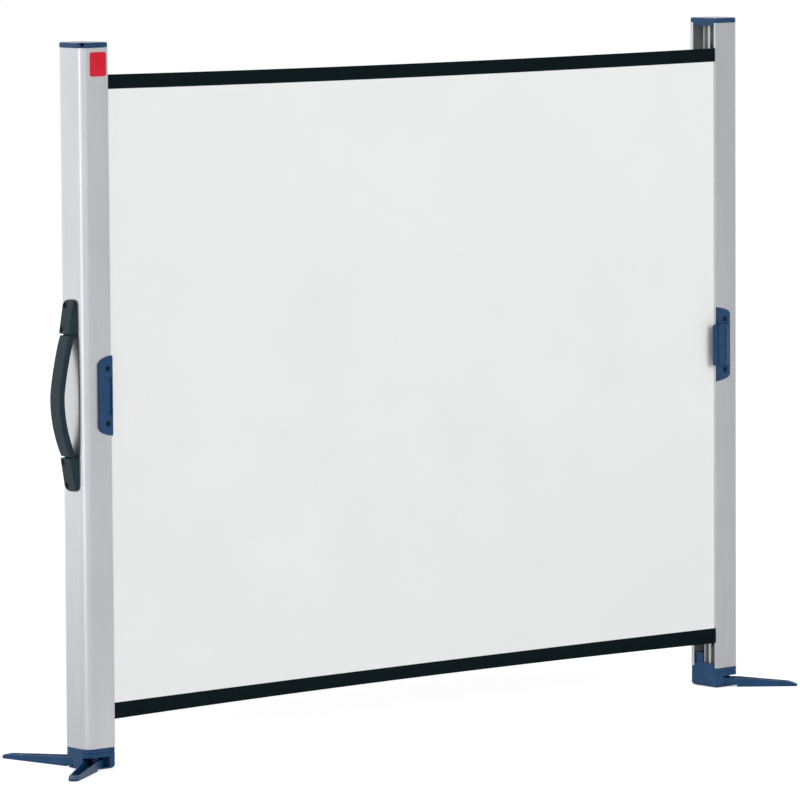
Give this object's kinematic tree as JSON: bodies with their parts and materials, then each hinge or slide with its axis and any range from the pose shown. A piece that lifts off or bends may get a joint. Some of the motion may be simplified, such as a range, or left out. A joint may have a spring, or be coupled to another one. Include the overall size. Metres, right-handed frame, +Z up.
{
  "type": "tabletop projection screen",
  "caption": "Pull-out tabletop projection screen: a spring-roller post and a clamp post carry fabric between them, on bases with swivelling trough feet, with a side handle and a latch.",
  "frame": {"origin": "on the table, on the axis of the fabric roller, at the centre of the left base's bottom face", "axes": "+X along the screen from the left post to the right post, +Y to the back of the screen, +Z up"},
  "size_m": [1.2659, 0.2249, 0.92],
  "materials": {
    "anodised_aluminium": "satin silver anodised",
    "blue_plastic": "fine-grained dark blue moulded plastic",
    "slate_plastic": "fine-grained slate grey moulded plastic",
    "white_plastic": "smooth white moulded plastic",
    "zinc_steel": "zinc plated",
    "black_oxide_steel": "black oxide",
    "screen_fabric": "matt white with black top and bottom borders"
  },
  "bodies": {
    "left_post": {"left_housing": "anodised_aluminium", "left_top_cap": "blue_plastic", "left_base": "blue_plastic", "left_base_plate": "blue_plastic", "left_base_screw_1": "zinc_steel", "left_base_screw_2": "zinc_steel", "left_plate_screw_1": "zinc_steel", "left_plate_screw_2": "zinc_steel", "left_front_foot_pin": "zinc_steel", "left_rear_foot_pin": "zinc_steel", "handle_upper_bracket": "slate_plastic", "handle_lower_bracket": "slate_plastic", "handle_strap": "slate_plastic", "handle_screw_1": "black_oxide_steel", "handle_screw_2": "black_oxide_steel", "handle_screw_3": "black_oxide_steel", "handle_screw_4": "black_oxide_steel", "catch_plate": "blue_plastic", "catch_screw_1": "black_oxide_steel", "catch_screw_2": "black_oxide_steel", "spring_rod": "zinc_steel", "roller_spring": "zinc_steel", "brake_washer": "zinc_steel", "roller_bearing": "white_plastic", "screen_fabric": "screen_fabric"},
    "roller": {"roller_tube": "anodised_aluminium", "roller_lower_plug": "white_plastic", "roller_upper_plug": "white_plastic", "spring_anchor": "white_plastic", "fabric_roll": "screen_fabric"},
    "left_front_foot": {"left_front_foot": "blue_plastic"},
    "left_rear_foot": {"left_rear_foot": "blue_plastic"},
    "right_post": {"right_housing": "anodised_aluminium", "right_top_cap": "blue_plastic", "right_base": "blue_plastic", "right_base_plate": "blue_plastic", "right_base_screw_1": "zinc_steel", "right_base_screw_2": "zinc_steel", "right_plate_screw_1": "zinc_steel", "right_plate_screw_2": "zinc_steel", "right_front_foot_pin": "zinc_steel", "right_rear_foot_pin": "zinc_steel", "fabric_clamp_bar": "slate_plastic", "latch_plate": "blue_plastic", "latch_screw_1": "black_oxide_steel", "latch_screw_2": "black_oxide_steel", "latch_pin": "zinc_steel", "latch_leaf_spring": "zinc_steel"},
    "right_front_foot": {"right_front_foot": "blue_plastic"},
    "right_rear_foot": {"right_rear_foot": "blue_plastic"},
    "latch": {"latch_lever": "blue_plastic"}
  },
  "joints": [
    {"name": "screen_slide", "type": "slide", "parent": "left_post", "child": "right_post", "axis": [-1, 0, 0], "range_m": [0, 1.039], "deforming": ["screen_fabric"]},
    {"name": "roller_spin", "type": "hinge", "parent": "left_post", "child": "roller", "pos_m": [0, 0, 0.45], "axis": [0, 0, 1], "range_deg": [-3530, 0], "deforming": ["roller_spring"]},
    {"name": "left_front_foot_swivel", "type": "hinge", "parent": "left_post", "child": "left_front_foot", "pos_m": [0, -0.0115, 0.008], "axis": [0, 0, 1], "range_deg": [0, 65]},
    {"name": "left_rear_foot_swivel", "type": "hinge", "parent": "left_post", "child": "left_rear_foot", "pos_m": [0, 0.0115, 0.008], "axis": [0, 0, 1], "range_deg": [0, 65]},
    {"name": "right_front_foot_swivel", "type": "hinge", "parent": "right_post", "child": "right_front_foot", "pos_m": [1.084, -0.0115, 0.008], "axis": [0, 0, 1], "range_deg": [-36, 29]},
    {"name": "right_rear_foot_swivel", "type": "hinge", "parent": "right_post", "child": "right_rear_foot", "pos_m": [1.084, 0.0115, 0.008], "axis": [0, 0, 1], "range_deg": [-8, 57]},
    {"name": "latch_hinge", "type": "hinge", "parent": "right_post", "child": "latch", "pos_m": [1.074, -0.028, 0.4747], "axis": [0, 0, -1], "range_deg": [-12, 2.5]}
  ],
  "couplings": [
    {"joint": "roller_spin", "follows": "screen_slide", "rad_per_m": -59.2}
  ]
}
